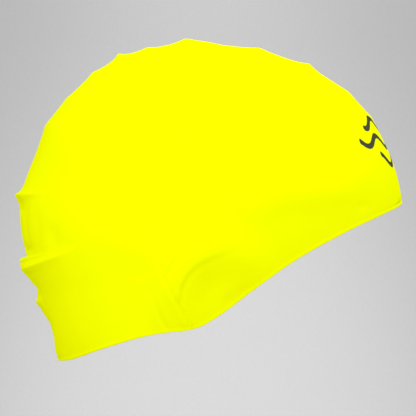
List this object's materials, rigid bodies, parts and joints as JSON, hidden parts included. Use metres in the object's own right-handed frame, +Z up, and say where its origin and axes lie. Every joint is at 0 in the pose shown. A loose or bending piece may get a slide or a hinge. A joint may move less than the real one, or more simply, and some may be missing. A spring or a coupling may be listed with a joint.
{
  "type": "swim cap",
  "caption": "Close-fitting moulded rubber swim cap, shown as worn: domed crown with soft ripples, folds across the back, swells over the ears and a beaded rim.",
  "frame": {"origin": "on the midline, where the inside of the crown bears on the top of the head", "axes": "+Z up, the forehead towards -Y, the nape towards +Y, the wearer's right side towards -X"},
  "size_m": [0.1664, 0.1982, 0.1646],
  "materials": {
    "neon_rubber": "neon yellow silicone rubber, satin, slightly sticky to the touch"
  },
  "bodies": {
    "root": {"cap_shell": "neon_rubber"}
  },
  "joints": []
}
